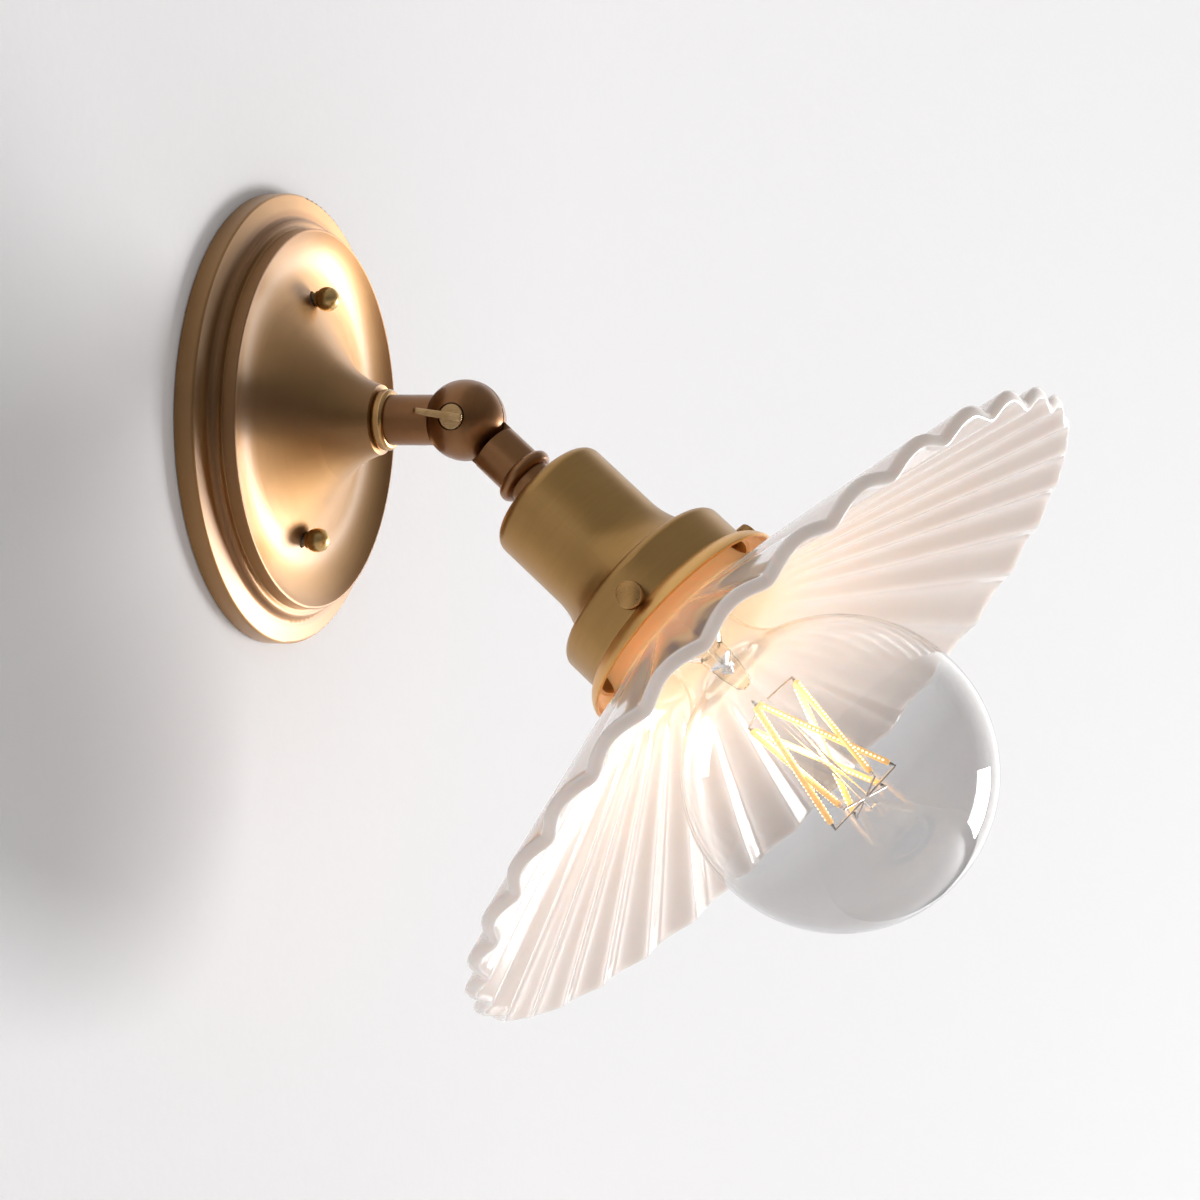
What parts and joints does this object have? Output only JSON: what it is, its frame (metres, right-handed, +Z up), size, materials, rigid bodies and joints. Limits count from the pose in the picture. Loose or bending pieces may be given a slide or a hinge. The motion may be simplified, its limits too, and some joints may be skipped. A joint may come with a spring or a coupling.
{
  "type": "swivel wall sconce",
  "caption": "Wall light: round stepped canopy, ball swivel with a thumb key, bell shade holder with thumbscrews, wide fluted glass shade and a clear globe lamp.",
  "frame": {"origin": "Centre of the canopy on the wall plane, which is also the centre of the crossbar's slot pattern.", "axes": "+Z up, -Y out of the wall into the room, X along the wall; the lamp tilts in the YZ plane."},
  "size_m": [0.2512, 0.2502, 0.2546],
  "materials": {
    "canopy_brass": "satin",
    "swivel_bronze": "satin antique",
    "holder_brass": "satin antique",
    "polished_brass": "polished",
    "key_brass": "brushed",
    "plated_steel": "zinc plated",
    "shade_glass": "frosted ribbed",
    "lamp_glass": "clear",
    "stem_glass": "clear",
    "porcelain": "glazed porcelain",
    "lamp_metal": "bright",
    "insulator": "black glass",
    "phosphor": "yellow phosphor"
  },
  "bodies": {
    "wall_arm": {"backplate": "canopy_brass", "mounting_crossbar": "plated_steel", "canopy_studs": "plated_steel", "ball_nuts": "polished_brass", "ground_screw": "plated_steel", "arm_nipple": "plated_steel", "neck_lock_nut": "plated_steel", "neck_lock_washer": "plated_steel", "neck_ring": "polished_brass", "knuckle_fixed_half": "swivel_bronze", "friction_washer": "plated_steel"},
    "key": {"thumb_key": "key_brass"},
    "lamp_head": {"knuckle_moving_half": "swivel_bronze", "holder_ring": "swivel_bronze", "holder_nipple": "plated_steel", "holder_lock_nut": "plated_steel", "holder_lock_washer": "plated_steel", "shade_holder": "holder_brass", "glass_shade": "shade_glass", "lampholder_cap": "lamp_metal", "lampholder_body": "porcelain", "screw_shell": "lamp_metal", "centre_contact": "polished_brass", "bulb_contact": "plated_steel", "bulb_insulator": "insulator", "bulb_cap": "lamp_metal", "bulb_globe": "lamp_glass", "bulb_stem": "stem_glass", "led_filaments": "phosphor", "filament_wires": "plated_steel"},
    "screw_one": {"shade_screw_1": "holder_brass"},
    "screw_two": {"shade_screw_2": "holder_brass"},
    "screw_three": {"shade_screw_3": "holder_brass"}
  },
  "joints": [
    {"name": "lamp_tilt", "type": "hinge", "parent": "wall_arm", "child": "lamp_head", "pos_m": [0, -0.06441, 0], "axis": [1, 0, 0], "range_deg": [-105, 25]},
    {"name": "thumb_key_turn", "type": "hinge", "parent": "wall_arm", "child": "key", "pos_m": [0, -0.06441, 0], "axis": [-1, 0, 0], "range_deg": [0, 180]},
    {"name": "shade_screw_one_slide", "type": "slide", "parent": "lamp_head", "child": "screw_one", "axis": [-0.9972, -0.0482, 0.0574], "range_m": [0, 0.003]},
    {"name": "shade_screw_two_slide", "type": "slide", "parent": "lamp_head", "child": "screw_two", "axis": [0.4337, 0.5792, -0.6903], "range_m": [0, 0.003]},
    {"name": "shade_screw_three_slide", "type": "slide", "parent": "lamp_head", "child": "screw_three", "axis": [0.5635, -0.531, 0.6328], "range_m": [0, 0.003]}
  ]
}
